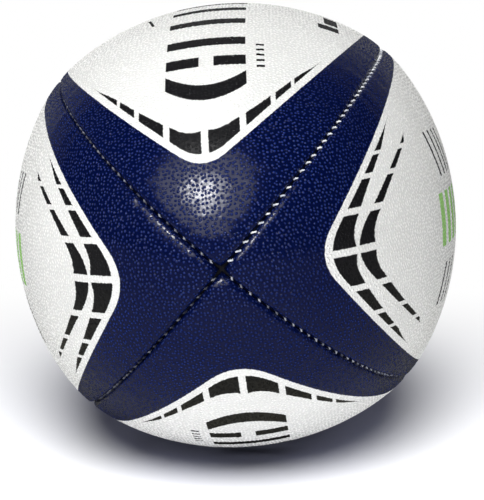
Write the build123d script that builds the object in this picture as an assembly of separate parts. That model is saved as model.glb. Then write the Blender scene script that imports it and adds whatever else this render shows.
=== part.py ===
from build123d import *
import math
import os

# Size 5 rugby union ball, in millimetres.
# The origin is the middle of the ball. +Y runs along the long axis and +Z is up: the ball lies
# on its side. +X is the right-hand side for someone facing along +Y.
# Four panels make the cover. Each one is a rubber skin over three fabric plies, and all four
# layers turn inwards along the seams as a flange. A rubber bladder with a valve fills the cover.

# Outside shape. A panel is flatter across than a circle, so the seams stand out as soft corners.
LENGTH = 290.0
MID_RADIUS = 93.6  # long axis to the middle of a panel
SEAM_RADIUS = 97.4  # long axis to the corner line where two panels meet
ROLL_DEG = 5.4  # how far the ball has rolled from having one panel exactly on top
SHOULDER_RADIUS = 3.0  # rounding of a panel edge as it turns in at the seam
SEAM_GAP = 1.0  # between the facing flanges of two panels
FLANGE_DEPTH = 7.0  # from the outside of the ball to the cut edge of the flanges

# Layers of a panel, from the outside in
SKIN_THICKNESS = 0.9
PLY_THICKNESS = 0.3
GLUE_LINE = 0.05
PLY_NAMES = ("outer_ply", "middle_ply", "inner_ply")

# Seam thread
THREAD_RADIUS = 0.45
THREAD_DEPTH = 3.0  # corner line to the middle of the thread
THREAD_END_DEG = 86.5  # ellipse angle at which the thread stops, short of the tip

# Bladder
BLADDER_WALL = 0.8
BLADDER_SEAM_CLEARANCE = 1.0  # it doesn't reach into the corners where the panels turn in

# Valve, on the left panel at mid-length, towards the upper left seam
VALVE_FROM_MID_DEG = -24.0
CASING_HOLE_RADIUS = 5.0
COLLAR_RADIUS = 4.75
COLLAR_TOP = -0.2  # heights along the valve axis are from the outside of the skin
STEM_RADIUS = 5.2
STEM_BOTTOM = -17.0
PATCH_RADIUS = 18.0
PATCH_THICKNESS = 0.6
VALVE_FLANGE_RADIUS = 11.0
VALVE_FLANGE_THICKNESS = 1.0
SEAT_RADIUS = 3.65  # counterbore that holds the head of the valve core
SEAT_BOTTOM = -1.6
CORE_BORE_RADIUS = 2.5
CORE_BORE_BOTTOM = -13.6
AIR_PORT_RADIUS = 1.2
RUNNING_CLEARANCE = 0.05
CORE_TOP = -0.3
NEEDLE_BORE_RADIUS = 1.0
NEEDLE_BORE_LENGTH = 10.0

PANEL_ANGLES_DEG = {"right": 0.0, "top": 90.0, "left": 180.0, "bottom": 270.0}
SEAM_ANGLES_DEG = {"upper_right": 45.0, "upper_left": 135.0, "lower_left": 225.0, "lower_right": 315.0}

HALF_LENGTH = LENGTH / 2.0
HALF_PANEL = math.radians(45.0)
# Half-width of the ellipse whose middle quarter makes one panel's cross-section
CROSS_RADIUS = math.sin(HALF_PANEL) / math.sqrt(
    1.0 / SEAM_RADIUS**2 - (math.cos(HALF_PANEL) / MID_RADIUS) ** 2
)
COVER_THICKNESS = SKIN_THICKNESS + len(PLY_NAMES) * (GLUE_LINE + PLY_THICKNESS)
REACH = 200.0  # longer than anything in the ball, for cutting tools


def ellipsoid(across, along, up):
    """Solid ellipsoid at the origin, with its surface poles on the long axis."""
    return scale(Sphere(1.0).rotate(Axis.X, 90.0), by=(across, along, up))


def panel_ellipsoid(depth):
    """The surface a panel facing +X belongs to, moved inwards by depth."""
    return ellipsoid(MID_RADIUS - depth, HALF_LENGTH - depth, CROSS_RADIUS - depth)


def seam_wedge(offset):
    """Quarter of space facing +X, its two sides moved in from the seam planes by offset."""
    edge = offset * math.sqrt(2.0)
    outline = Polyline((edge, 0.0), (edge + REACH, REACH), (edge + REACH, -REACH), close=True)
    return extrude(Plane.XZ * make_face(outline), amount=REACH, both=True)


def panel_block(depth):
    """Everything inside a panel facing +X, from depth below its outside, with rolled edges."""
    block = panel_ellipsoid(depth) & seam_wedge(SEAM_GAP / 2.0 + depth)
    seam_edges = [edge for edge in block.edges() if edge.geom_type != GeomType.LINE]
    return fillet(seam_edges, SHOULDER_RADIUS - depth)


def flange_trim(depth):
    """Round body that ends the seam flanges, moved inwards by depth."""
    inset = FLANGE_DEPTH + depth
    return ellipsoid(SEAM_RADIUS - inset, HALF_LENGTH - inset, SEAM_RADIUS - inset)


def cover_layer(outer_depth, thickness):
    """One layer of a panel facing +X, with its two seam flanges."""
    block = panel_block(outer_depth) - panel_block(outer_depth + thickness)
    return block - flange_trim(0.0)


def bladder_block(inset):
    """Outside of the bladder moved inwards by inset: four lobes that stop at the flanges."""
    depth = COVER_THICKNESS + GLUE_LINE + inset
    lobe = panel_ellipsoid(depth) & seam_wedge(SEAM_GAP / 2.0 + depth + BLADDER_SEAM_CLEARANCE)
    body = flange_trim(GLUE_LINE + inset)
    for angle in PANEL_ANGLES_DEG.values():
        body = body + turned(lobe, angle)
    return body


def turned(shape, angle_deg):
    """The shape turned about the long axis, from +X towards +Z."""
    return shape.rotate(Axis.Y, -angle_deg)


def placed(shape, angle_deg):
    """As turned, with the roll of the resting ball added."""
    return turned(shape, angle_deg + ROLL_DEG)


def valve_plane():
    """Plane on the outside of a panel facing +X, where the valve is, its normal outwards."""
    from_mid = math.radians(VALVE_FROM_MID_DEG)
    ellipse_angle = math.atan2(math.sin(from_mid) / CROSS_RADIUS, math.cos(from_mid) / MID_RADIUS)
    cosine = math.cos(ellipse_angle)
    sine = math.sin(ellipse_angle)
    return Plane(
        origin=(MID_RADIUS * cosine, 0.0, CROSS_RADIUS * sine),
        x_dir=(0.0, 1.0, 0.0),
        z_dir=(cosine / MID_RADIUS, 0.0, sine / CROSS_RADIUS),
    )


def valve_cylinder(radius, bottom, top):
    """Cylinder on the valve axis between two heights measured from the outside of the skin."""
    middle = Pos(0.0, 0.0, (bottom + top) / 2.0)
    return valve_plane() * middle * Cylinder(radius, top - bottom)


def valve_disc(radius, outer_depth, thickness):
    """Round piece that follows the curve of the bladder wall, centred on the valve axis."""
    sheet = panel_ellipsoid(outer_depth) - panel_ellipsoid(outer_depth + thickness)
    return sheet & valve_cylinder(radius, -REACH / 4.0, REACH / 4.0)


def valve_hole(radius):
    """Cutting tool for a hole on the valve axis through every layer of the cover and bladder."""
    return valve_cylinder(radius, STEM_BOTTOM, -STEM_BOTTOM)


def valve_body(flange_depth):
    """Moulded rubber valve: a collar in the casing hole, a bonded flange and an inner stem."""
    body = valve_disc(VALVE_FLANGE_RADIUS, flange_depth, VALVE_FLANGE_THICKNESS)
    body = body + valve_cylinder(COLLAR_RADIUS, STEM_BOTTOM / 2.0, COLLAR_TOP)
    body = body + valve_cylinder(STEM_RADIUS, STEM_BOTTOM, -flange_depth - VALVE_FLANGE_THICKNESS / 2.0)
    body = body - valve_cylinder(SEAT_RADIUS, SEAT_BOTTOM, REACH / 4.0)
    body = body - valve_cylinder(CORE_BORE_RADIUS, CORE_BORE_BOTTOM, REACH / 4.0)
    return body - valve_cylinder(AIR_PORT_RADIUS, STEM_BOTTOM * 2.0, REACH / 4.0)


def valve_core():
    """Removable plug with a blind bore for the inflation needle."""
    head_bottom = SEAT_BOTTOM + RUNNING_CLEARANCE
    core_bottom = CORE_BORE_BOTTOM + RUNNING_CLEARANCE
    core = valve_cylinder(CORE_BORE_RADIUS - RUNNING_CLEARANCE, core_bottom, CORE_TOP)
    core = core + valve_cylinder(SEAT_RADIUS - RUNNING_CLEARANCE, head_bottom, CORE_TOP)
    return core - valve_cylinder(NEEDLE_BORE_RADIUS, CORE_TOP - NEEDLE_BORE_LENGTH, REACH / 4.0)


def seam_thread():
    """Cord that lies along the gap of the seam facing +X, from near one tip to near the other."""
    path = EllipticalCenterArc(
        (0.0, 0.0),
        SEAM_RADIUS - THREAD_DEPTH,
        HALF_LENGTH - THREAD_DEPTH,
        start_angle=-THREAD_END_DEG,
        arc_size=2.0 * THREAD_END_DEG,
    )
    section = Plane(origin=path.position_at(0.0), z_dir=path.tangent_at(0.0)) * Circle(THREAD_RADIUS)
    return sweep(section, path=path)


def save(name, shape):
    """Write one node of the ball."""
    export_step(shape, "parts/" + name + ".step")


def save_cover():
    """Four panels, each of a rubber skin and three plies; the left panel has the valve hole."""
    layers = {"rubber_skin": cover_layer(0.0, SKIN_THICKNESS)}
    depth = SKIN_THICKNESS + GLUE_LINE
    for ply_name in PLY_NAMES:
        layers[ply_name] = cover_layer(depth, PLY_THICKNESS)
        depth += PLY_THICKNESS + GLUE_LINE
    for layer_name, layer in layers.items():
        for side, angle in PANEL_ANGLES_DEG.items():
            piece = layer - valve_hole(CASING_HOLE_RADIUS) if side == "left" else layer
            save(side + "_" + layer_name, placed(piece, angle))


def save_seam_threads():
    """One thread in each of the four seams."""
    thread = seam_thread()
    for seam_name, angle in SEAM_ANGLES_DEG.items():
        save(seam_name + "_seam_thread", placed(thread, angle))


def save_bladder_and_valve():
    """Bladder with its valve, all turned to the left panel."""
    angle = PANEL_ANGLES_DEG["left"]
    patch_depth = COVER_THICKNESS + GLUE_LINE + BLADDER_WALL + GLUE_LINE
    flange_depth = patch_depth + PATCH_THICKNESS + GLUE_LINE
    collar_hole = valve_hole(COLLAR_RADIUS + GLUE_LINE)
    bladder = bladder_block(0.0) - bladder_block(BLADDER_WALL) - collar_hole
    patch = valve_disc(PATCH_RADIUS, patch_depth, PATCH_THICKNESS) - collar_hole
    save("bladder", placed(bladder, angle))
    save("bladder_valve_patch", placed(patch, angle))
    save("valve_body", placed(valve_body(flange_depth), angle))
    save("valve_core", placed(valve_core(), angle))


os.makedirs("parts", exist_ok=True)
save_cover()
save_seam_threads()
save_bladder_and_valve()
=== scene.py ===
"""Looks of a size 5 rugby ball: pimpled panels with printed ends, stitched seams and a valve."""
import math

import bpy
import numpy as np
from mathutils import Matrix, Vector
from mathutils.geometry import delaunay_2d_cdt


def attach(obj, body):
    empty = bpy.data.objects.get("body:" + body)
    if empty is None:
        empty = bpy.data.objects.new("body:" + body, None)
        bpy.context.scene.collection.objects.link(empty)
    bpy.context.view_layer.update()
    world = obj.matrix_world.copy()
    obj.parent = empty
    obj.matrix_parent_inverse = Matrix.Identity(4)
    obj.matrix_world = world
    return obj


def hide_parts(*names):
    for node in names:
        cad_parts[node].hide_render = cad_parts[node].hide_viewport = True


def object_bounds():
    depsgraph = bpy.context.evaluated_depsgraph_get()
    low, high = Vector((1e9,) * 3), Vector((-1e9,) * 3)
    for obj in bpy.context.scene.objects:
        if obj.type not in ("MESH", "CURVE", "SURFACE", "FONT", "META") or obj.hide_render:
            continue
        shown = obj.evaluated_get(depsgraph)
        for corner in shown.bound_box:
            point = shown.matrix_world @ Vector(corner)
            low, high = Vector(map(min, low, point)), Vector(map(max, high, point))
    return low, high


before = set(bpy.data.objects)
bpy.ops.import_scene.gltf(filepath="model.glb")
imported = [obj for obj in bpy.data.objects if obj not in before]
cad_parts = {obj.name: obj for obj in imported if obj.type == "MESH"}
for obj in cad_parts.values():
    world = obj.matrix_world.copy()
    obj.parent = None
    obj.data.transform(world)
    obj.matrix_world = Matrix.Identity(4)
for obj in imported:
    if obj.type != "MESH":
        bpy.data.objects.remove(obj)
cad_low, cad_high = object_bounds()

# Lengths are in metres. MM turns a number of millimetres into metres.
MM = 0.001

# Outside shape, the same numbers as the CAD
MID_RADIUS = 93.6 * MM
SEAM_RADIUS = 97.4 * MM
HALF_LENGTH = 145.0 * MM
ROLL = math.radians(5.4)
CROSS_RADIUS = math.sqrt(0.5) / math.sqrt(1 / SEAM_RADIUS**2 - 0.5 / MID_RADIUS**2)
PANEL_ANGLES = {"right": 0.0, "top": math.pi / 2, "left": math.pi, "bottom": 3 * math.pi / 2}
SEAM_ANGLES = {
    "upper_right": math.pi / 4,
    "upper_left": 3 * math.pi / 4,
    "lower_left": 5 * math.pi / 4,
    "lower_right": 7 * math.pi / 4,
}
ROOT_HALF = math.sqrt(0.5)

# Panel edge: it sinks a little towards the seam, rolls over and runs down into the groove
GAP_HALF = 0.32 * MM
ROLL_RADIUS = 1.8 * MM
WALL_WIDTH = 3.2 * MM  # strip of panel beyond the corner line that makes the roll and the wall
DRAW_IN = 0.75 * MM
DRAW_IN_REACH = 4.5 * MM
TIP_DRAW_IN = 1.5 * MM
TIP_REACH = 3.4 * MM
TIP_OPENING = 0.4 * MM  # how much wider the groove is on each side where the four panels meet
STITCH_PULL = 0.22 * MM
STITCH_PULL_REACH = 2.6 * MM
PUCKER = 0.16 * MM
PUCKER_REACH = 9.0 * MM
PUCKER_LENGTHS = (31 * MM, 17 * MM, 11 * MM, 7.5 * MM)
PUCKER_WAVE = 0.4  # share of the pucker that each length makes
SKIN_THICKNESS = 0.9 * MM

# Pimples
PIMPLE_PITCH = 1.6 * MM
PIMPLE_JITTER = 0.20
PIMPLE_HEIGHT = 0.15 * MM
PIMPLE_HEIGHT_SPREAD = 0.2
PIMPLE_RADIUS = 0.54 * MM
PIMPLE_RADIUS_SPREAD = 0.12
NO_PIMPLE = 9.0  # a distance from the nearest pimple, in pimple radii, well outside it
SPREAD_LIMIT = 1.5  # a random spread is cut off at this many times its size

# Mesh points of a panel: pimples outside, a coarser lattice on its plain back
INNER_PITCH = 7.0 * MM
EDGE_POINT_PITCH = 1.1 * MM
EDGE_STEPS = 8001  # fine points along one side of a panel's edge, before they are evened out
MESHING_SCALE = 1000  # the triangulation works in millimetres
MESHING_TOLERANCE = 1e-7
JITTER_LIMIT = 0.3  # furthest a lattice point is moved, in pitches
LATTICE_ROOM = 0.55  # first pimples to the panel's cut edge, in pitches
INNER_LATTICE_ROOM = 0.4
LATTICE_HALF_ANGLE = math.radians(50)  # a little more than half a panel
LATTICE_OVERSHOOT = 6 * MM  # how far the lattice runs on past the tips
PIMPLES_FROM_HOLE = 0.8 * MM
INNER_POINTS_FROM_HOLE = 3.0 * MM

# Layout of a panel in its bake image
BAND_INSET = 0.01
BAND_MARGIN = 8 * MM
BAND_HALF_WIDTH = math.radians(52) * CROSS_RADIUS
OUTER_BAND = (0.1, 0.99)
INNER_BAND = (0.01, 0.08)

# Valve hole in the left panel
VALVE_FROM_MID = math.radians(-24.0)
VALVE_HOLE_RADIUS = 5.0 * MM
HOLE_POINTS = 40
HOLE_TRIM = 0.98  # triangles whose middles lie within this share of the hole's radius are dropped

# Stitches
STITCHES_PER_SEAM = 88
STITCH_END_CLEAR = 5.0 * MM
STITCH_LENGTH = 1.7 * MM
STITCH_LENGTH_SPREAD = 0.1
STITCH_DEPTH_SPREAD = 0.2 * MM
STITCH_CROSS = 0.50 * MM
STITCH_ARCH = 0.8 * MM
STRAND_RADIUS = 0.24 * MM
STRAND_OFFSET = 0.17 * MM
STRAND_TURNS = 1.25
STRAND_STEPS = 10
STRAND_SIDES = 6

rng = np.random.default_rng(5)


# ---------------------------------------------------------------- panel surface

TABLE_STEPS = 6001
PAST_TIP = 0.12  # how far the table of the middle line runs on past each tip, in radians


def running_length(angles, across, along):
    """Distance along an ellipse from the first angle, for speeds across and along its axis."""
    speed = np.hypot(across, along)
    steps = (speed[1:] + speed[:-1]) / 2 * np.diff(angles)
    return np.concatenate([[0.0], np.cumsum(steps)])


# Distance along the middle line of a panel (m) against its ellipse angle (beta)
BETA_TABLE = np.linspace(-PAST_TIP, math.pi + PAST_TIP, TABLE_STEPS)
M_TABLE = running_length(
    BETA_TABLE, MID_RADIUS * np.cos(BETA_TABLE), HALF_LENGTH * np.sin(BETA_TABLE)
)
M_TABLE = M_TABLE - np.interp(0.0, BETA_TABLE, M_TABLE)
MERIDIAN = float(np.interp(math.pi, BETA_TABLE, M_TABLE))


def surface_point(m, t):
    """Point of the smooth panel facing +X, m along its middle from the -Y tip and t across."""
    beta = np.interp(m, M_TABLE, BETA_TABLE)
    theta = t / CROSS_RADIUS
    x = MID_RADIUS * np.cos(theta) * np.sin(beta)
    y = -HALF_LENGTH * np.cos(theta) * np.cos(beta)
    z = CROSS_RADIUS * np.sin(theta)
    return np.stack([x, y, z], axis=-1)


def surface_normal(points):
    """Outward normal of the smooth panel at points on it."""
    radii = np.array([MID_RADIUS, HALF_LENGTH, CROSS_RADIUS])
    normals = points / radii**2
    return normals / np.linalg.norm(normals, axis=-1, keepdims=True)


def seam_distances(points):
    """Distances of points from the two seam planes of the panel facing +X."""
    upper = (points[..., 0] - points[..., 2]) * ROOT_HALF
    lower = (points[..., 0] + points[..., 2]) * ROOT_HALF
    return upper, lower


# Distance along a seam against its ellipse angle
SEAM_ANGLE_TABLE = np.linspace(-math.pi / 2, math.pi / 2, TABLE_STEPS)
SEAM_ARC_TABLE = running_length(
    SEAM_ANGLE_TABLE,
    SEAM_RADIUS * np.sin(SEAM_ANGLE_TABLE),
    HALF_LENGTH * np.cos(SEAM_ANGLE_TABLE),
)
SEAM_ARC = float(SEAM_ARC_TABLE[-1])
STITCH_PITCH = (SEAM_ARC - 2 * STITCH_END_CLEAR) / (STITCHES_PER_SEAM - 1)


def seam_arc_at(y):
    """Distance along the seam from the -Y tip, at a height y on the long axis."""
    angle = np.arcsin(np.clip(y / HALF_LENGTH, -1, 1))
    return np.interp(angle, SEAM_ANGLE_TABLE, SEAM_ARC_TABLE)


def smooth_wave(arc, seed):
    """Slow irregular wave along a seam, between about -1 and 1."""
    generator = np.random.default_rng(seed)
    total = np.zeros_like(arc)
    for length in PUCKER_LENGTHS:
        total += PUCKER_WAVE * np.sin(2 * math.pi * (arc / length + generator.random()))
    return total


def near_tip(points):
    """1 at either tip of the ball, falling to 0 away from it."""
    from_axis = np.hypot(points[..., 0], points[..., 2])
    return np.exp(-((from_axis / TIP_REACH) ** 2))


def roll_edge(points, distances, side):
    """Shift towards the seam plane and drop below the surface for points near one seam."""
    start = GAP_HALF + TIP_OPENING * near_tip(points) + ROLL_RADIUS
    along = np.clip(start - distances, 0, None)
    turn = np.minimum(along / ROLL_RADIUS, math.pi / 2)
    wall = np.clip(along - ROLL_RADIUS * math.pi / 2, 0, None)
    new_distance = np.where(along > 0, start - ROLL_RADIUS * np.sin(turn), distances)
    drop = ROLL_RADIUS * (1 - np.cos(turn)) + wall
    arc = seam_arc_at(points[..., 1])
    from_edge = np.clip(distances, 0, None)
    phase = (arc - STITCH_END_CLEAR) / STITCH_PITCH
    pull = STITCH_PULL * (0.5 + 0.5 * np.cos(2 * math.pi * phase))
    drop += pull * np.exp(-from_edge / STITCH_PULL_REACH)
    drop += DRAW_IN * np.exp(-from_edge / DRAW_IN_REACH)
    drop += PUCKER * smooth_wave(arc, side) * np.exp(-from_edge / PUCKER_REACH)
    return new_distance - distances, drop


def shaped_points(m, t, lift):
    """The real panel: smooth surface with rolled edges, raised by lift along its normal."""
    points = surface_point(m, t)
    normals = surface_normal(points)
    to_upper = np.array([ROOT_HALF, 0, -ROOT_HALF])
    to_lower = np.array([ROOT_HALF, 0, ROOT_HALF])
    upper, lower = seam_distances(points)
    shift_upper, drop_upper = roll_edge(points, upper, 1)
    shift_lower, drop_lower = roll_edge(points, lower, 2)
    near_upper = np.clip(1 - upper / (GAP_HALF + ROLL_RADIUS), 0, 1)[..., None]
    near_lower = np.clip(1 - lower / (GAP_HALF + ROLL_RADIUS), 0, 1)[..., None]
    down = normals - near_upper * (normals @ to_upper)[..., None] * to_upper
    down = down - near_lower * (normals @ to_lower)[..., None] * to_lower
    down = down / np.linalg.norm(down, axis=-1, keepdims=True)
    drop = np.hypot(drop_upper, drop_lower) + TIP_DRAW_IN * near_tip(points)
    moved = points + shift_upper[..., None] * to_upper + shift_lower[..., None] * to_lower
    return moved - drop[..., None] * down + lift[..., None] * normals


# ---------------------------------------------------------------- panel meshes

def edge_theta(beta):
    """Angle across the panel at which its extended edge lies."""
    reach = MID_RADIUS * np.sin(beta)
    size = np.hypot(reach, CROSS_RADIUS)
    return np.arctan2(reach, CROSS_RADIUS) + np.arcsin(WALL_WIDTH / ROOT_HALF / size)


def edge_loop():
    """Points (m, t) round the extended edge of a panel, in order."""
    past_tip = math.asin(WALL_WIDTH / ROOT_HALF / MID_RADIUS)
    fine = np.linspace(-past_tip, math.pi + past_tip, EDGE_STEPS)
    m = np.interp(fine, BETA_TABLE, M_TABLE)
    t = edge_theta(fine) * CROSS_RADIUS
    t[0] = t[-1] = 0.0
    length = np.concatenate([[0.0], np.cumsum(np.hypot(np.diff(m), np.diff(t)))])
    count = int(length[-1] / EDGE_POINT_PITCH)
    stops = np.linspace(0, length[-1], count + 1)
    upper = np.stack([np.interp(stops, length, m), np.interp(stops, length, t)], axis=-1)
    lower = upper[::-1][1:-1] * np.array([1, -1])
    return np.concatenate([upper, lower])


def lattice(pitch, jitter, margin):
    """Points (m, t) of a loose triangular lattice over the extended panel, margin from its edge."""
    row_step = pitch * math.sqrt(0.75)
    rows = int(LATTICE_HALF_ANGLE * CROSS_RADIUS / row_step)
    found = []
    for row in range(-rows, rows + 1):
        t = row * row_step
        step = pitch / math.cos(t / CROSS_RADIUS)
        start = -LATTICE_OVERSHOOT + step * rng.random()
        m = np.arange(start, MERIDIAN + LATTICE_OVERSHOOT, step)
        found.append(np.stack([m, np.full_like(m, t)], axis=-1))
    points = np.concatenate(found)
    furthest = JITTER_LIMIT * pitch
    points = points + rng.normal(0, jitter * pitch, points.shape).clip(-furthest, furthest)
    upper, lower = seam_distances(surface_point(points[:, 0], points[:, 1]))
    inside = (upper > margin - WALL_WIDTH) & (lower > margin - WALL_WIDTH)
    return points[inside]


def valve_place():
    """(m, t) of the valve on its panel."""
    theta = math.atan2(math.sin(VALVE_FROM_MID) / CROSS_RADIUS, math.cos(VALVE_FROM_MID) / MID_RADIUS)
    return np.array([MERIDIAN / 2, theta * CROSS_RADIUS])


def hole_loop():
    """Points (m, t) round the valve hole."""
    centre = valve_place()
    stretch = math.cos(centre[1] / CROSS_RADIUS)
    angles = np.linspace(0, 2 * math.pi, HOLE_POINTS, endpoint=False)
    ring = np.stack([np.cos(angles) / stretch, np.sin(angles)], axis=-1)
    return centre + VALVE_HOLE_RADIUS * ring


def from_valve(points):
    """Distance over the surface from the valve's centre, for points (m, t)."""
    centre = valve_place()
    stretch = math.cos(centre[1] / CROSS_RADIUS)
    return np.hypot((points[:, 0] - centre[0]) * stretch, points[:, 1] - centre[1])


def clear_of_hole(points, room):
    """The points (m, t) that are at least a little way from the edge of the valve hole."""
    return points[from_valve(points) > VALVE_HOLE_RADIUS + room]


def triangulate(inner, loops, hole):
    """Delaunay triangles over inner points and closed loops: (points, triangles, loop flags)."""
    points = np.concatenate(loops + [inner])
    edges = []
    first = 0
    for loop in loops:
        count = len(loop)
        edges += [(first + i, first + (i + 1) % count) for i in range(count)]
        first += count
    scaled = [tuple(point) for point in points * MESHING_SCALE]
    result = delaunay_2d_cdt(scaled, edges, [], 0, MESHING_TOLERANCE)
    points = np.array([tuple(point) for point in result[0]]) / MESHING_SCALE
    triangles = np.array(result[2])
    originals = result[3]
    on_loop = np.array([any(i < first for i in source) for source in originals])
    centres = points[triangles].mean(axis=1)
    upper, lower = seam_distances(surface_point(centres[:, 0], centres[:, 1]))
    keep = (upper > -WALL_WIDTH) & (lower > -WALL_WIDTH)
    if hole:
        keep &= from_valve(centres) > VALVE_HOLE_RADIUS * HOLE_TRIM
    return points, triangles[keep], on_loop


def directed_edges(triangles):
    """Dictionary from a directed edge to the triangle it belongs to."""
    table = {}
    for number, (a, b, c) in enumerate(triangles.tolist()):
        table[(a, b)] = number
        table[(b, c)] = number
        table[(c, a)] = number
    return table


def fan_cells(points, triangles):
    """Splits a triangulation so that every point stands in the middle of a ring of hollows.

    The first corner of each new face is the point in the middle, unless the face is on the rim.
    """
    hollow = points[triangles].mean(axis=1)
    table = directed_edges(triangles)
    base = len(points)
    faces = []
    for (a, b), left in table.items():
        right = table.get((b, a))
        if right is None:
            faces.append((a, b, base + left))
        else:
            faces.append((a, base + right, base + left))
    return np.concatenate([points, hollow]), np.array(faces)


def varied(size, spread, count):
    """Sizes that vary at random about one size, by a share of it."""
    variation = rng.standard_normal(count).clip(-SPREAD_LIMIT, SPREAD_LIMIT)
    return size * (1 + spread * variation)


def pimple_offsets(flat, faces, is_pimple):
    """For each corner of each face, where it lies from the middle of its pimple, in pimple radii."""
    middle = faces[:, 0]
    offsets = flat[faces] - flat[middle][:, None, :]
    stretch = np.cos(flat[middle][:, 1] / CROSS_RADIUS)
    offsets[:, :, 0] *= stretch[:, None]
    radius = varied(PIMPLE_RADIUS, PIMPLE_RADIUS_SPREAD, len(flat))
    offsets /= radius[middle][:, None, None]
    offsets[~is_pimple[middle]] = NO_PIMPLE
    return offsets


def counter_clockwise(points, triangles):
    """Triangles all turned the same way in (m, t)."""
    a, b, c = (points[triangles[:, i]] for i in range(3))
    area = (b[:, 0] - a[:, 0]) * (c[:, 1] - a[:, 1]) - (b[:, 1] - a[:, 1]) * (c[:, 0] - a[:, 0])
    turned = triangles.copy()
    turned[area < 0] = turned[area < 0][:, ::-1]
    return turned


def panel_shape(hole):
    """Outer and inner sheets of a panel facing +X, with the places of its pimples."""
    loops = [edge_loop()] + ([hole_loop()] if hole else [])
    fine_points = lattice(PIMPLE_PITCH, PIMPLE_JITTER, LATTICE_ROOM * PIMPLE_PITCH)
    coarse_points = lattice(INNER_PITCH, 0.0, INNER_LATTICE_ROOM * INNER_PITCH)
    if hole:
        fine_points = clear_of_hole(fine_points, PIMPLES_FROM_HOLE)
        coarse_points = clear_of_hole(coarse_points, INNER_POINTS_FROM_HOLE)
    points, triangles, on_loop = triangulate(fine_points, loops, hole)
    triangles = counter_clockwise(points, triangles)
    flat, faces = fan_cells(points, triangles)
    is_pimple = np.zeros(len(flat), bool)
    is_pimple[: len(points)] = ~on_loop
    height = varied(PIMPLE_HEIGHT, PIMPLE_HEIGHT_SPREAD, len(flat))
    outer = shaped_points(flat[:, 0], flat[:, 1], is_pimple * height)
    offsets = pimple_offsets(flat, faces, is_pimple)
    inner_points, inner_triangles, inner_on_loop = triangulate(coarse_points, loops, hole)
    inner_triangles = counter_clockwise(inner_points, inner_triangles)
    sunk = np.where(inner_on_loop, 0.0, -SKIN_THICKNESS)
    inner = shaped_points(inner_points[:, 0], inner_points[:, 1], sunk)
    return flat, faces, offsets, outer, inner_points, inner_triangles, inner_on_loop, inner


def band_uv(flat, band):
    """UVs that lay points (m, t) out in one band of the bake image, (lowest v, highest v)."""
    low, high = band
    along = (flat[:, 0] + BAND_MARGIN) / (MERIDIAN + 2 * BAND_MARGIN)
    across = (flat[:, 1] + BAND_HALF_WIDTH) / (2 * BAND_HALF_WIDTH)
    u = BAND_INSET + (1 - 2 * BAND_INSET) * along
    v = low + (high - low) * across
    return np.stack([u, v], axis=-1)


def set_corner_uv(mesh, name, per_corner):
    """Adds a UV layer with one value for each corner of each face, in the order of the faces."""
    layer = mesh.uv_layers.new(name=name)
    layer.data.foreach_set("uv", per_corner.astype(np.float32).ravel())


def set_vertex_uv(mesh, name, per_vertex):
    """Adds a UV layer with one value for each vertex."""
    corners = np.zeros(len(mesh.loops), np.int32)
    mesh.loops.foreach_get("vertex_index", corners)
    set_corner_uv(mesh, name, per_vertex[corners])


def turn_about_long_axis(points, angle):
    """Points turned about the long axis, from +X towards +Z."""
    x = points[:, 0] * math.cos(angle) - points[:, 2] * math.sin(angle)
    z = points[:, 0] * math.sin(angle) + points[:, 2] * math.cos(angle)
    return np.stack([x, points[:, 1], z], axis=-1)


def add_mesh(name, vertices, faces):
    """Links a new smooth-shaded mesh object."""
    mesh = bpy.data.meshes.new(name)
    mesh.from_pydata(vertices.tolist(), [], faces)
    mesh.shade_smooth()
    built = bpy.data.objects.new(name, mesh)
    bpy.context.scene.collection.objects.link(built)
    return built


def rounded(point):
    """A point as whole thousandths of a millimetre, to find the same point in another list."""
    return tuple(np.round(point / MM * 1000).astype(int))


def make_panel(side, shape):
    """One rubber skin as a closed sheet with pimples outside and a plain back."""
    flat, faces, offsets, outer, inner_flat, inner_faces, on_loop, inner = shape
    outer_count = len(outer)
    rim = {rounded(point): index for index, point in enumerate(flat)}
    remap = np.zeros(len(inner), int)
    extra = []
    for index, point in enumerate(inner_flat):
        key = rounded(point)
        if on_loop[index] and key in rim:
            remap[index] = rim[key]
        else:
            remap[index] = outer_count + len(extra)
            extra.append(index)
    vertices = np.concatenate([outer, inner[extra]])
    every_face = np.concatenate([faces, remap[inner_faces][:, ::-1]])
    vertices = turn_about_long_axis(vertices, PANEL_ANGLES[side] + ROLL)
    built = add_mesh(side + "_panel", vertices, every_face.tolist())
    every_flat = np.concatenate([flat, inner_flat[extra]])
    uv = np.concatenate([band_uv(flat, OUTER_BAND), band_uv(inner_flat[extra], INNER_BAND)])
    set_vertex_uv(built.data, "OFBake", uv)
    set_vertex_uv(built.data, "panel_flat", every_flat / MM)
    smooth = surface_point(every_flat[:, 0], every_flat[:, 1])
    distances = np.stack(seam_distances(smooth), axis=-1)
    set_vertex_uv(built.data, "seam_distance", distances / MM)
    plain = np.full((len(inner_faces), 3, 2), NO_PIMPLE)
    set_corner_uv(built.data, "pimple_offset", np.concatenate([offsets, plain]))
    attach(built, "ball")
    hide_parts(side + "_rubber_skin")
    return built


# ---------------------------------------------------------------- stitches

ACROSS_SEAM = np.array([0.0, 0.0, 1.0])


def seam_frame(arc):
    """Point, direction along and direction outwards on the seam facing +X, at a distance along it."""
    angle = np.interp(arc, SEAM_ARC_TABLE, SEAM_ANGLE_TABLE)
    point = np.array([SEAM_RADIUS * math.cos(angle), HALF_LENGTH * math.sin(angle), 0.0])
    along = np.array([-SEAM_RADIUS * math.sin(angle), HALF_LENGTH * math.cos(angle), 0.0])
    along = along / np.linalg.norm(along)
    outward = np.array([along[1], -along[0], 0.0])
    return point, along, outward


NEARLY_UP = np.array([0.01, 0.01, 1.01])  # no strand runs along it


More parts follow.
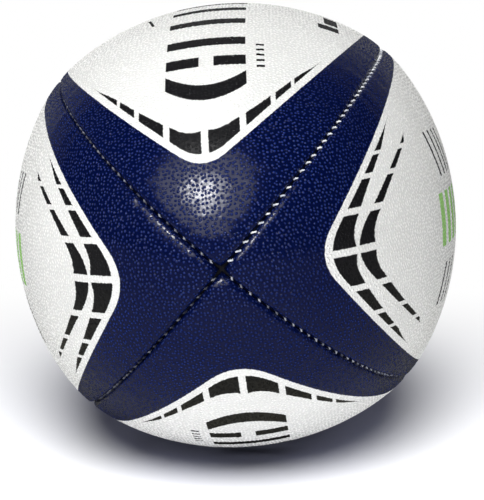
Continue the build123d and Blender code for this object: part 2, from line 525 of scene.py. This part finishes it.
def strand_mesh(centres, radius):
    """Vertices and faces of a closed tube round a line of points."""
    tangents = np.gradient(centres, axis=0)
    tangents /= np.linalg.norm(tangents, axis=1, keepdims=True)
    side = np.cross(tangents, NEARLY_UP)
    side /= np.linalg.norm(side, axis=1, keepdims=True)
    other = np.cross(tangents, side)
    angles = np.linspace(0, 2 * math.pi, STRAND_SIDES, endpoint=False)
    rings = (
        centres[:, None, :]
        + radius * np.cos(angles)[None, :, None] * side[:, None, :]
        + radius * np.sin(angles)[None, :, None] * other[:, None, :]
    )
    vertices = rings.reshape(-1, 3)
    faces = []
    for ring in range(len(centres) - 1):
        for corner in range(STRAND_SIDES):
            here = ring * STRAND_SIDES + corner
            beside = ring * STRAND_SIDES + (corner + 1) % STRAND_SIDES
            faces.append((here, beside, beside + STRAND_SIDES, here + STRAND_SIDES))
    faces.append(tuple(range(STRAND_SIDES))[::-1])
    last = (len(centres) - 1) * STRAND_SIDES
    faces.append(tuple(range(last, last + STRAND_SIDES)))
    return vertices, faces


# How deep each seam was pulled, from the surface to the ends of its stitches, and how far its
# stitches lie to one side of the groove
STITCH_DEPTHS = {
    "upper_right": 2.2 * MM,
    "upper_left": 4.0 * MM,
    "lower_left": 4.5 * MM,
    "lower_right": 3.3 * MM,
}
STITCH_SIDEWAYS = {
    "upper_right": -0.35 * MM,
    "upper_left": 0.0,
    "lower_left": 0.0,
    "lower_right": 0.0,
}


def stitch_line(arc, seam_depth, seam_sideways):
    """One stitch, out of one panel edge, over the groove and into the other, and its outward side."""
    steps = np.linspace(0, 1, STRAND_STEPS)
    point, along, outward = seam_frame(arc)
    length = STITCH_LENGTH * rng.uniform(1 - STITCH_LENGTH_SPREAD, 1 + STITCH_LENGTH_SPREAD)
    depth = seam_depth + rng.uniform(-STITCH_DEPTH_SPREAD, STITCH_DEPTH_SPREAD)
    forward = (steps - 0.5) * length
    sideways = seam_sideways + np.cos(math.pi * steps) * STITCH_CROSS
    height = -depth + np.sin(math.pi * steps) * STITCH_ARCH
    line = point + forward[:, None] * along + height[:, None] * outward
    return line + sideways[:, None] * ACROSS_SEAM, outward


def twisted_strands(line, outward, start_turn):
    """Two strands of a cord wound round a centre line."""
    steps = np.linspace(0, 1, len(line))
    strands = []
    for strand in range(2):
        turn = 2 * math.pi * (STRAND_TURNS * steps + start_turn + strand / 2)
        offset = np.cos(turn)[:, None] * outward + np.sin(turn)[:, None] * ACROSS_SEAM
        strands.append(line + STRAND_OFFSET * offset)
    return strands


def make_stitching(seam, angle):
    """All the stitches of one seam as one piece."""
    vertices = []
    faces = []
    for number in range(STITCHES_PER_SEAM):
        arc = STITCH_END_CLEAR + number * STITCH_PITCH
        line, outward = stitch_line(arc, STITCH_DEPTHS[seam], STITCH_SIDEWAYS[seam])
        for strand in twisted_strands(line, outward, rng.random()):
            tube, tube_faces = strand_mesh(strand, STRAND_RADIUS)
            first = sum(len(part) for part in vertices)
            vertices.append(tube)
            faces += [tuple(first + index for index in face) for face in tube_faces]
    points = turn_about_long_axis(np.concatenate(vertices), angle + ROLL)
    built = add_mesh(seam + "_stitching", points, faces)
    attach(built, "ball")
    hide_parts(seam + "_seam_thread")
    return built


# ---------------------------------------------------------------- materials

class Graph:
    """A node material built from short calls."""

    def __init__(self, name):
        self.material = bpy.data.materials.new(name)
        self.material.use_nodes = True
        self.tree = self.material.node_tree
        self.tree.nodes.clear()
        self.output = self.tree.nodes.new("ShaderNodeOutputMaterial")
        self.shader = self.tree.nodes.new("ShaderNodeBsdfPrincipled")
        self.link(self.shader.outputs[0], self.output.inputs[0])

    def link(self, source, target):
        """Joins two sockets, or sets a plain value."""
        if isinstance(source, bpy.types.NodeSocket):
            self.tree.links.new(source, target)
        else:
            target.default_value = source

    def math(self, operation, first, second=0.0, third=0.0):
        """One maths node."""
        node = self.tree.nodes.new("ShaderNodeMath")
        node.operation = operation
        self.link(first, node.inputs[0])
        self.link(second, node.inputs[1])
        self.link(third, node.inputs[2])
        return node.outputs[0]

    # The maths nodes in use, by short names

    def add(self, first, second):
        return self.math("ADD", first, second)

    def sub(self, first, second):
        return self.math("SUBTRACT", first, second)

    def mul(self, first, second):
        return self.math("MULTIPLY", first, second)

    def low(self, first, second):
        return self.math("MINIMUM", first, second)

    def high(self, first, second):
        return self.math("MAXIMUM", first, second)

    def step(self, value, start, end):
        """0 below start, 1 above end, smooth between."""
        node = self.tree.nodes.new("ShaderNodeMapRange")
        node.interpolation_type = "SMOOTHSTEP"
        self.link(value, node.inputs["Value"])
        node.inputs["From Min"].default_value = start
        node.inputs["From Max"].default_value = end
        return node.outputs[0]

    def mix(self, factor, first, second):
        """Colour mix."""
        node = self.tree.nodes.new("ShaderNodeMix")
        node.data_type = "RGBA"
        self.link(factor, node.inputs[0])
        self.link(first, node.inputs[6])
        self.link(second, node.inputs[7])
        return node.outputs[2]

    def noise(self, scale, detail=2.0, rough=0.5):
        """Noise in object space, in cycles per metre."""
        place = self.tree.nodes.new("ShaderNodeTexCoord")
        node = self.tree.nodes.new("ShaderNodeTexNoise")
        self.link(place.outputs["Object"], node.inputs["Vector"])
        node.inputs["Scale"].default_value = scale
        node.inputs["Detail"].default_value = detail
        node.inputs["Roughness"].default_value = rough
        return node.outputs["Fac"]

    def uv(self, name):
        """The two values of a UV layer."""
        node = self.tree.nodes.new("ShaderNodeUVMap")
        node.uv_map = name
        split = self.tree.nodes.new("ShaderNodeSeparateXYZ")
        self.link(node.outputs[0], split.inputs[0])
        return split.outputs[0], split.outputs[1]

    def bump(self, height, distance, strength=1.0, normal=None):
        """Bump from a height value times a distance in metres."""
        node = self.tree.nodes.new("ShaderNodeBump")
        node.inputs["Strength"].default_value = strength
        node.inputs["Distance"].default_value = distance
        self.link(height, node.inputs["Height"])
        if normal is not None:
            self.link(normal, node.inputs["Normal"])
        return node.outputs[0]

    def set(self, **values):
        """Sets inputs of the main shader, with underscores for spaces."""
        for name, value in values.items():
            self.link(value, self.shader.inputs[name.replace("_", " ")])


NAVY = (0.0006, 0.0030, 0.032, 1.0)
NAVY_TOP_RUBBED_AND_LIT = (0.0110, 0.0260, 0.140, 1.0)  # tops of the pimples, lighter partly from rubbed ink and partly as a painted highlight on their lit tops
WHITE = (0.86, 0.86, 0.84, 1.0)
WHITE_DUSTY = (0.80, 0.80, 0.78, 1.0)
# grey that white rubber is mixed towards on the flat between the pimples, as painted shade
WHITE_PAINTED_HOLLOW_SHADE = (0.50, 0.50, 0.50, 1.0)
BLACK = (0.0065, 0.0065, 0.0075, 1.0)
GREEN = (0.22, 0.55, 0.07, 1.0)
GREEN_COVER = 0.85  # how much of the white under it the green ink hides

# Print, in millimetres
EDGE = 0.14  # half-width over which a printed edge fades
WAVER = 0.5  # how far printed edges wander
WAVER_SCALE = 900.0

# Printed shape of each panel: how far it sits off centre, how much further the white reaches
# towards the tips, how round the point of the V is, how far the middle of its dashes is off
# centre, where the first row starts inside the white, and where the second row starts (0 for none)
PRINT = {
    "top": (2.35, -0.35, 12.0, 2.3, 3.0, 0.0),
    "bottom": (1.6, 0.1, 16.0, 2.8, 3.0, 0.0),
    "left": (1.3, 0.8, 16.0, 1.7, 3.0, 12.7),
    "right": (0.4, 0.8, 14.0, 0.3, 2.9, 12.7),
}

# Navy between a seam and the white: at mid-length, how much more at a tip, and the distance from
# the tip over which that falls away
NAVY_MARGIN = 4.5
NAVY_MARGIN_TIP = 32.0
NAVY_MARGIN_FADE = 68.0

# Dashes: from and to across the panel, measured from the middle of the row
OUTER_CELLS = ((1.3, 12.6), (14.9, 24.2), (26.0, 32.1), (33.4, 45.5))
INNER_CELLS = ((1.4, 12.5), (14.9, 24.0), (25.8, 32.2), (34.0, 38.0))

# Rows of dashes: thickness in the middle and the distance over which it falls away
SINGLE_ROW = (8.4, 23.0)
OUTER_ROW = (9.2, 24.0)
INNER_ROW = (6.3, 25.0)

# Blocks: from and to along the panel, measured from the nearer tip, then from and to across it
BOLD_LEFT = -13.5
BOLD_RIGHT = 16.5
BOW_BLOCK = (67.5, 76.0, BOLD_LEFT, BOLD_RIGHT)
BOW_BEND = 0.035  # its ends bend back by this times their distance from its middle, squared
LEANING_BLOCK = (142.0, 162.0, -0.6, 0.6)
LEAN = 0.17
BOLD_BLOCKS = (
    (88.0, 95.0, BOLD_LEFT, -1.5),
    (88.0, 95.0, 4.0, BOLD_RIGHT),
    (104.0, 111.0, BOLD_LEFT, BOLD_RIGHT),
    (127.0, 134.0, BOLD_LEFT, BOLD_RIGHT),
    (150.0, 157.0, BOLD_LEFT, BOLD_RIGHT),
    (172.0, 179.0, BOLD_LEFT, BOLD_RIGHT),
    (137.0, 146.0, -52.0, -43.0),
    (150.0, 172.0, -52.0, -46.0),
)

# Rows of equal bars: where the first starts along the panel, pitch, how many there are, width of
# one, then from and to across the panel
TICK_ROW = (86.0, 4.2, 5, 1.6, -20.5, -17.4)
UPPER_STROKES = (139.0, 8.5, 4, 2.6, 17.0, 36.0)
LOWER_STROKES = (136.0, 8.5, 3, 2.4, -34.0, -17.0)
GREEN_BARS = (121.0, 11.0, 4, 6.5, -10.0, 11.0)
STROKE_SLANT = 0.45

# Panel rubber. Scales of noise are in cycles per metre.
CLOUD_SCALE = 22.0
SCUFF_SCALE = 260.0
GRAIN_SCALE = 5200.0
GRAIN_RISE = 0.01 * MM
PIMPLE_RISE = 0.36 * MM  # the shading makes a pimple look higher than its mesh is
HOLLOW_SHADE = 0.42
LEAST_TOP_LIGHTENING = 0.4  # how far every pimple top is lightened where the panel is rubbed least, from 0 to 1: a painted highlight that rubbing adds to
PANEL_ROUGHNESS = 0.12
WHITE_EXTRA_ROUGHNESS = 0.12
SCUFF_EXTRA_ROUGHNESS = 0.05
SHINE = 0.5
SHINE_LOST_ON_FLANKS = 0.44


def between(g, value, low, high):
    """1 where low < value < high, with soft printed edges."""
    rising = g.step(value, low - EDGE, low + EDGE)
    falling = g.step(value, high - EDGE, high + EDGE)
    return g.mul(rising, g.sub(1.0, falling))


def print_field(g, m_near, shift, offset, rounding):
    """Signed distance into the white area, in millimetres."""
    upper, lower = g.uv("seam_distance")
    decay = g.math("EXPONENT", g.mul(m_near, -1.0 / NAVY_MARGIN_FADE))
    margin = g.add(g.mul(decay, NAVY_MARGIN_TIP), NAVY_MARGIN)
    first = g.add(g.sub(upper, margin), shift)
    second = g.sub(g.sub(lower, margin), shift)
    apart = g.math("ABSOLUTE", g.sub(first, second))
    close = g.mul(g.high(g.sub(rounding, apart), 0.0), 1.0 / rounding)
    cut = g.mul(g.mul(close, close), rounding / 4.0)
    return g.add(g.sub(g.low(first, second), cut), offset)


def dash_row(g, field, across, cells, start, size):
    """One row of dashes along the inside of the white area, thinner away from the middle."""
    thick, fade = size
    taper = g.math("EXPONENT", g.mul(across, -1.0 / fade))
    last_low, last_high = cells[-1]
    point = g.sub(1.0, g.step(across, last_low, last_high))
    depth = g.sub(field, start)
    thickness = g.mul(g.mul(taper, thick), point)
    row = g.mul(g.step(depth, -EDGE, EDGE), g.step(g.sub(thickness, depth), -EDGE, EDGE))
    cell = 0.0
    for low, high in cells:
        cell = g.add(cell, between(g, across, low, high))
    return g.mul(row, cell)


def block(g, along, across, limits):
    """A printed block."""
    m_low, m_high, t_low, t_high = limits
    return g.mul(between(g, along, m_low, m_high), between(g, across, t_low, t_high))


def bar_row(g, along, across, row):
    """A row of equal printed bars."""
    first, pitch, count, width, t_low, t_high = row
    bars = 0.0
    for number in range(count):
        low = first + pitch * number
        bars = g.high(bars, block(g, along, across, (low, low + width, t_low, t_high)))
    return bars


def bold_marks(g, along, across):
    """Plain bold blocks, ticks and one thin stroke on the top and bottom panels."""
    from_middle = g.sub(across, (BOLD_LEFT + BOLD_RIGHT) / 2)
    bowed = g.sub(along, g.mul(g.mul(from_middle, from_middle), BOW_BEND))
    marks = block(g, bowed, across, BOW_BLOCK)
    for limits in BOLD_BLOCKS:
        marks = g.high(marks, block(g, along, across, limits))
    leaning = g.sub(across, g.mul(along, LEAN))
    marks = g.high(marks, block(g, along, leaning, LEANING_BLOCK))
    return g.high(marks, bar_row(g, along, across, TICK_ROW))


def side_marks(g, along, across):
    """Thin slanted strokes and plain bars on the side panels: (black, green)."""
    slant = g.mul(across, STROKE_SLANT)
    upper = bar_row(g, g.add(along, slant), across, UPPER_STROKES)
    lower = bar_row(g, g.sub(along, slant), across, LOWER_STROKES)
    return g.high(upper, lower), bar_row(g, along, across, GREEN_BARS)


def pimple_dome(g):
    """Height of the round pimples, 0 on the flat between them and 1 on their tops."""
    first, second = g.uv("pimple_offset")
    square = g.add(g.mul(first, first), g.mul(second, second))
    return g.high(g.sub(1.0, square), 0.0)


def printed_areas(g, side):
    """White, black and green parts of one panel's print, each 0 or 1 with soft edges."""
    shift, offset, rounding, middle, first_row, second_row = PRINT[side]
    m, t = g.uv("panel_flat")
    near = g.low(m, g.sub(MERIDIAN / MM, m))
    waver = g.mul(g.sub(g.noise(WAVER_SCALE), 0.5), WAVER)
    field = g.add(print_field(g, near, shift, offset, rounding), waver)
    centred = g.sub(t, middle)
    across = g.add(g.math("ABSOLUTE", centred), waver)
    along = g.add(near, waver)
    if second_row:
        black = dash_row(g, field, across, OUTER_CELLS, first_row, OUTER_ROW)
        inner = dash_row(g, field, across, INNER_CELLS, second_row, INNER_ROW)
        strokes, green = side_marks(g, along, t)
        black = g.high(g.high(black, inner), strokes)
    else:
        black = dash_row(g, field, across, OUTER_CELLS, first_row, SINGLE_ROW)
        black = g.high(black, bold_marks(g, along, t))
        green = 0.0
    return g.step(field, -EDGE, EDGE), black, green


def panel_material(side):
    """Pimpled rubber with the printed design of one panel."""
    g = Graph(side + "_panel_rubber")
    white, black, green = printed_areas(g, side)
    dome = pimple_dome(g)
    hollow = g.sub(1.0, g.step(dome, 0.05, 0.5))
    cloud = g.noise(CLOUD_SCALE, 4.0, 0.6)
    rubber = g.mix(g.step(cloud, 0.35, 0.75), WHITE, WHITE_DUSTY)
    # Painted shade: the white flat between the pimples and their feet is greyed
    rubber = g.mix(g.mul(hollow, HOLLOW_SHADE), rubber, WHITE_PAINTED_HOLLOW_SHADE)
    # Navy ink: pimple tops lighter than the flat between them, partly rubbed ink and partly painted
    # highlight
    rubbed_and_lit_tops = g.add(g.mul(g.step(cloud, 0.3, 0.8), 1.0 - LEAST_TOP_LIGHTENING), LEAST_TOP_LIGHTENING)
    ink = g.mix(g.mul(g.step(dome, 0.3, 0.95), rubbed_and_lit_tops), NAVY, NAVY_TOP_RUBBED_AND_LIT)
    colour = g.mix(white, ink, rubber)
    colour = g.mix(g.mul(green, GREEN_COVER), colour, GREEN)
    colour = g.mix(black, colour, BLACK)
    scuff = g.mul(g.noise(SCUFF_SCALE, 3.0, 0.6), SCUFF_EXTRA_ROUGHNESS)
    roughness = g.add(g.mul(white, WHITE_EXTRA_ROUGHNESS), g.add(PANEL_ROUGHNESS, scuff))
    grain = g.bump(g.noise(GRAIN_SCALE), GRAIN_RISE, 0.5)
    dimple = g.bump(dome, PIMPLE_RISE, 1.0, grain)
    flank = g.mul(g.step(dome, 0.0, 0.1), g.sub(1.0, g.step(dome, 0.45, 0.75)))
    shine = g.sub(SHINE, g.mul(flank, SHINE_LOST_ON_FLANKS))
    g.set(Base_Color=colour, Roughness=roughness, Normal=dimple, Specular_IOR_Level=shine)
    return g.material


# Waxed cord, soiled in places. It shows light in the upper right seam; in the more deeply sunk seams
# it is coloured darker all over as painted shade of their grooves.
CORD_CLEAN = (0.88, 0.89, 0.90, 1.0)
CORD_SOILED = (0.50, 0.53, 0.62, 1.0)
SHADED_SUNK_CORD_CLEAN = (0.55, 0.57, 0.64, 1.0)
SHADED_SUNK_CORD_SOILED = (0.08, 0.09, 0.13, 1.0)
CORD_ROUGHNESS = 0.30
SOIL_SCALE = 300.0
FIBRE_SCALE = 9000.0
FIBRE_RISE = 0.03 * MM


def thread_material(name, clean, soiled):
    """Waxed cord, soiled in places."""
    g = Graph(name)
    colour = g.mix(g.step(g.noise(SOIL_SCALE, 3.0), 0.40, 0.65), clean, soiled)
    fibres = g.bump(g.noise(FIBRE_SCALE), FIBRE_RISE, 0.6)
    g.set(Base_Color=colour, Roughness=CORD_ROUGHNESS, Normal=fibres, Sheen_Weight=0.3)
    return g.material


# Polycotton plies, coloured near black as painted shade, since they only show deep in the seam gaps
SHADE_DARKENED_PLY_LIGHT = (0.060, 0.058, 0.055, 1.0)
SHADE_DARKENED_PLY_DARK = (0.020, 0.020, 0.022, 1.0)
PLY_ROUGHNESS = 0.82
WEAVE_SCALE = 420.0
WEAVE_RISE = 0.12 * MM
LATEX_SCALE = 60.0


def fabric_material(name, light, dark):
    """Plain woven polycotton with a film of latex."""
    g = Graph(name)
    place = g.tree.nodes.new("ShaderNodeTexCoord").outputs["Object"]
    threads = []
    for axis in ("X", "Y"):
        wave = g.tree.nodes.new("ShaderNodeTexWave")
        wave.bands_direction = axis
        wave.inputs["Scale"].default_value = WEAVE_SCALE
        wave.inputs["Distortion"].default_value = 0.6
        g.link(place, wave.inputs["Vector"])
        threads.append(wave.outputs["Fac"])
    weave = g.mul(g.add(threads[0], threads[1]), 0.5)
    latex = g.step(g.noise(LATEX_SCALE, 3.0), 0.2, 0.8)
    colour = g.mix(g.mul(weave, latex), dark, light)
    threads_raised = g.bump(weave, WEAVE_RISE, 0.7)
    g.set(Base_Color=colour, Roughness=PLY_ROUGHNESS, Normal=threads_raised, Sheen_Weight=0.2)
    return g.material


# Moulded rubber: colour, colour of the powder on it and roughness
BLADDER_RUBBER = ((0.006, 0.006, 0.008, 1.0), (0.035, 0.035, 0.04, 1.0), 0.5)
VALVE_RUBBER = ((0.03, 0.03, 0.034, 1.0), (0.14, 0.14, 0.14, 1.0), 0.42)
CORE_RUBBER = ((0.55, 0.52, 0.44, 1.0), (0.7, 0.68, 0.62, 1.0), 0.4)
BLOOM_SCALE = 85.0
BLOOM_COVER = 0.5
BLOOM_EXTRA_ROUGHNESS = 0.2
RUBBER_GRAIN_SCALE = 3000.0
RUBBER_GRAIN_RISE = 0.06 * MM


def plain_rubber(name, base, powder, roughness):
    """Moulded rubber with a bloom of powder and fine grain."""
    g = Graph(name)
    bloom = g.step(g.noise(BLOOM_SCALE, 4.0, 0.65), 0.42, 0.8)
    colour = g.mix(g.mul(bloom, BLOOM_COVER), base, powder)
    rough = g.add(roughness, g.mul(bloom, BLOOM_EXTRA_ROUGHNESS))
    grain = g.bump(g.noise(RUBBER_GRAIN_SCALE, 3.0), RUBBER_GRAIN_RISE, 0.5)
    g.set(Base_Color=colour, Roughness=rough, Normal=grain)
    return g.material


def dress(thing, material):
    """Gives a piece one material."""
    thing.data.materials.clear()
    thing.data.materials.append(material)


# ---------------------------------------------------------------- build

def make_panels():
    """The four rubber skins; the left one has the valve hole."""
    plain_shape = panel_shape(False)
    valve_shape = panel_shape(True)
    for side in PANEL_ANGLES:
        panel = make_panel(side, valve_shape if side == "left" else plain_shape)
        dress(panel, panel_material(side))


def make_seams():
    """The stitching of the four seams."""
    cord = thread_material("waxed_cord", CORD_CLEAN, CORD_SOILED)
    # the cord of the sunk seams is darkened as painted shade of their grooves
    shaded_sunk_cord = thread_material("sunk_waxed_cord_painted_shade", SHADED_SUNK_CORD_CLEAN, SHADED_SUNK_CORD_SOILED)
    for seam, angle in SEAM_ANGLES.items():
        dress(make_stitching(seam, angle), cord if seam == "upper_right" else shaded_sunk_cord)


def dress_inside():
    """Materials of the pieces that keep their CAD shape."""
    # the plies' near-black colour is painted shade
    polycotton = fabric_material("polycotton", SHADE_DARKENED_PLY_LIGHT, SHADE_DARKENED_PLY_DARK)
    bladder_rubber = plain_rubber("bladder_rubber", *BLADDER_RUBBER)
    materials = {
        "bladder": bladder_rubber,
        "bladder_valve_patch": bladder_rubber,
        "valve_body": plain_rubber("valve_rubber", *VALVE_RUBBER),
        "valve_core": plain_rubber("valve_core_rubber", *CORE_RUBBER),
    }
    for name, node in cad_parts.items():
        if name.endswith("_ply"):
            dress(node, polycotton)
        elif name in materials:
            dress(node, materials[name])


make_panels()
make_seams()
dress_inside()

# ---------------------------------------------------------------- studio

FLOOR_LEVEL = cad_low[2]
FLOOR_SIZE = 14.0
FLOOR_PAPER_REACH = 0.14  # paper floor up to here, fading to pure white further out
FLOOR_WHITE_REACH = 0.42
FLOOR_PAPER = (0.30, 0.31, 0.42)  # bluish grey paper, lit up to white by its own warm light
FLOOR_LIGHT_COLOUR = (1.0, 0.97, 0.72)
FLOOR_ROUGHNESS = 0.9
FLOOR_IN_GLOSS = 0.052
FAR_FLOOR_IN_GLOSS = 0.12

# Brightness of the studio: as plain light, and as seen in gloss in front of and behind the ball,
# with how far back a direction points where the second starts to turn into the third and ends
WORLD_LIGHT = 0.22
WORLD_FRONT_IN_GLOSS = 0.004
WORLD_BEHIND_IN_GLOSS = 0.22
WORLD_TURN_START = 0.45
WORLD_TURN_END = 0.95

# Lights: name, direction, distance, size, watts, in plain shading, in gloss
KEY_DIRECTION = (-0.22, -0.745, 0.622)
BALL_LIGHTS = (
    ("key", KEY_DIRECTION, 1.6, 0.12, 8.0, True, False),
    ("key_softbox", KEY_DIRECTION, 1.6, 1.10, 7.0, True, False),
    ("core_sheen", KEY_DIRECTION, 1.6, 0.35, 5.5, False, True),
    ("middle_sheen", KEY_DIRECTION, 1.6, 0.70, 7.0, False, True),
    ("wide_sheen", KEY_DIRECTION, 1.6, 1.70, 11.5, False, True),
    ("overhead", (-0.1, 0.0, 1.0), 1.4, 0.6, 11.4, True, False),
    ("left_fill", (-1.0, -0.35, 0.25), 1.6, 0.9, 4.8, True, False),
    ("right_fill", (1.0, -0.45, 0.15), 1.6, 0.9, 1.6, True, False),
    ("low_fill", (0.1, -1.0, -0.05), 1.6, 0.9, 7.4, True, False),
    ("under_fill", (0.0, -0.65, -0.75), 1.6, 0.9, 1.0, True, False),
)
FLOOR_LIGHT = ("floor_light", (0.0, -1.2, 1.0), 1.6, 0.9, 160.0, True, False)


def unless_gloss(g, value, in_gloss):
    """One value for ordinary rays and another for rays mirrored by a glossy surface."""
    mirrored = g.tree.nodes.new("ShaderNodeLightPath").outputs["Is Glossy Ray"]
    return g.add(g.mul(mirrored, in_gloss), g.mul(g.sub(1.0, mirrored), value))


def make_floor():
    """Paper under the ball, pure white further out, and darker in the ball's own gloss."""
    half = FLOOR_SIZE / 2
    across = ((-half, -half), (half, -half), (half, half), (-half, half))
    corners = np.array([(x, y, FLOOR_LEVEL) for x, y in across])
    floor = add_mesh("floor", corners, [(0, 1, 2, 3)])
    g = Graph("floor_paper")
    shade = g.tree.nodes.new("ShaderNodeCombineColor")
    for channel in range(3):
        g.link(unless_gloss(g, FLOOR_PAPER[channel], FLOOR_IN_GLOSS), shade.inputs[channel])
    g.set(Base_Color=shade.outputs[0], Roughness=FLOOR_ROUGHNESS, Specular_IOR_Level=0.0)
    place = g.tree.nodes.new("ShaderNodeTexCoord").outputs["Object"]
    reach = g.tree.nodes.new("ShaderNodeVectorMath")
    reach.operation = "LENGTH"
    g.link(place, reach.inputs[0])
    glow = g.tree.nodes.new("ShaderNodeEmission")
    g.link(unless_gloss(g, 1.0, FAR_FLOOR_IN_GLOSS), glow.inputs["Strength"])
    blend = g.tree.nodes.new("ShaderNodeMixShader")
    g.link(g.step(reach.outputs["Value"], FLOOR_PAPER_REACH, FLOOR_WHITE_REACH), blend.inputs[0])
    g.link(g.shader.outputs[0], blend.inputs[1])
    g.link(glow.outputs[0], blend.inputs[2])
    g.link(blend.outputs[0], g.output.inputs[0])
    dress(floor, g.material)
    return floor


def make_world():
    """White studio to the eye; in gloss it is dark in front of the ball and grey behind it."""
    world = bpy.data.worlds.new("studio")
    bpy.context.scene.world = world
    world.use_nodes = True
    tree = world.node_tree
    background = tree.nodes["Background"]
    place = tree.nodes.new("ShaderNodeTexCoord")
    split = tree.nodes.new("ShaderNodeSeparateXYZ")
    ramp = tree.nodes.new("ShaderNodeMapRange")
    ramp.interpolation_type = "SMOOTHSTEP"
    ramp.inputs["From Min"].default_value = WORLD_TURN_START
    ramp.inputs["From Max"].default_value = WORLD_TURN_END
    ramp.inputs["To Min"].default_value = WORLD_FRONT_IN_GLOSS
    ramp.inputs["To Max"].default_value = WORLD_BEHIND_IN_GLOSS
    tree.links.new(place.outputs["Generated"], split.inputs[0])
    tree.links.new(split.outputs[1], ramp.inputs["Value"])
    rays = tree.nodes.new("ShaderNodeLightPath")
    gloss = tree.nodes.new("ShaderNodeMix")
    tree.links.new(rays.outputs["Is Glossy Ray"], gloss.inputs["Factor"])
    gloss.inputs["A"].default_value = WORLD_LIGHT
    tree.links.new(ramp.outputs[0], gloss.inputs["B"])
    eye = tree.nodes.new("ShaderNodeMix")
    tree.links.new(rays.outputs["Is Camera Ray"], eye.inputs["Factor"])
    tree.links.new(gloss.outputs["Result"], eye.inputs["A"])
    eye.inputs["B"].default_value = 1.0
    tree.links.new(eye.outputs["Result"], background.inputs["Strength"])
    background.inputs["Color"].default_value = (1.0, 1.0, 1.0, 1.0)


def make_light(name, direction, distance, size, power, in_diffuse, in_gloss):
    """Round soft light aimed at the middle of the ball, for its plain shading, its gloss or both."""
    data = bpy.data.lights.new(name, "AREA")
    data.shape = "DISK"
    data.size = size
    data.energy = power
    light = bpy.data.objects.new(name, data)
    bpy.context.scene.collection.objects.link(light)
    towards = Vector(direction).normalized()
    light.location = towards * distance
    light.rotation_euler = towards.to_track_quat("Z", "Y").to_euler()
    light.visible_diffuse = in_diffuse
    light.visible_glossy = in_gloss
    return light


def make_collection(name, floor, state):
    """A light-linking collection that holds the floor, either to take light or to be left out."""
    linked = bpy.data.collections.new(name)
    linked.objects.link(floor)
    linked.collection_objects[0].light_linking.link_state = state
    return linked


def make_lights(floor):
    """Lights that shine on everything but the floor, and one that shines on the floor alone."""
    all_but_floor = make_collection("all_but_floor", floor, "EXCLUDE")
    only_floor = make_collection("only_floor", floor, "INCLUDE")
    for settings in BALL_LIGHTS:
        light = make_light(*settings)
        light.light_linking.receiver_collection = all_but_floor
        light.light_linking.blocker_collection = all_but_floor
    floor_light = make_light(*FLOOR_LIGHT)
    floor_light.data.color = FLOOR_LIGHT_COLOUR
    floor_light.light_linking.receiver_collection = only_floor


make_world()
make_lights(make_floor())

# ---------------------------------------------------------------- camera

CAMERA_AZIMUTH = math.radians(2.26)
CAMERA_ELEVATION = math.radians(7.0)
CAMERA_DISTANCE = 0.665
CAMERA_LENS = 109.6
CAMERA_SENSOR = 36.0
CAMERA_SHIFT_X = 0.009
CAMERA_SHIFT_Y = -0.0604


def make_camera():
    """Camera nearly on the long axis, a little above it."""
    data = bpy.data.cameras.new("camera")
    data.sensor_fit = "VERTICAL"
    data.sensor_height = CAMERA_SENSOR
    data.lens = CAMERA_LENS
    data.shift_x = CAMERA_SHIFT_X
    data.shift_y = CAMERA_SHIFT_Y
    camera = bpy.data.objects.new("camera", data)
    bpy.context.scene.collection.objects.link(camera)
    level = math.cos(CAMERA_ELEVATION)
    back = Vector((
        math.sin(CAMERA_AZIMUTH) * level,
        -math.cos(CAMERA_AZIMUTH) * level,
        math.sin(CAMERA_ELEVATION),
    ))
    camera.location = back * CAMERA_DISTANCE
    camera.rotation_euler = back.to_track_quat("Z", "Y").to_euler()
    bpy.context.scene.camera = camera


make_camera()
bpy.context.scene.view_settings.view_transform = "Standard"
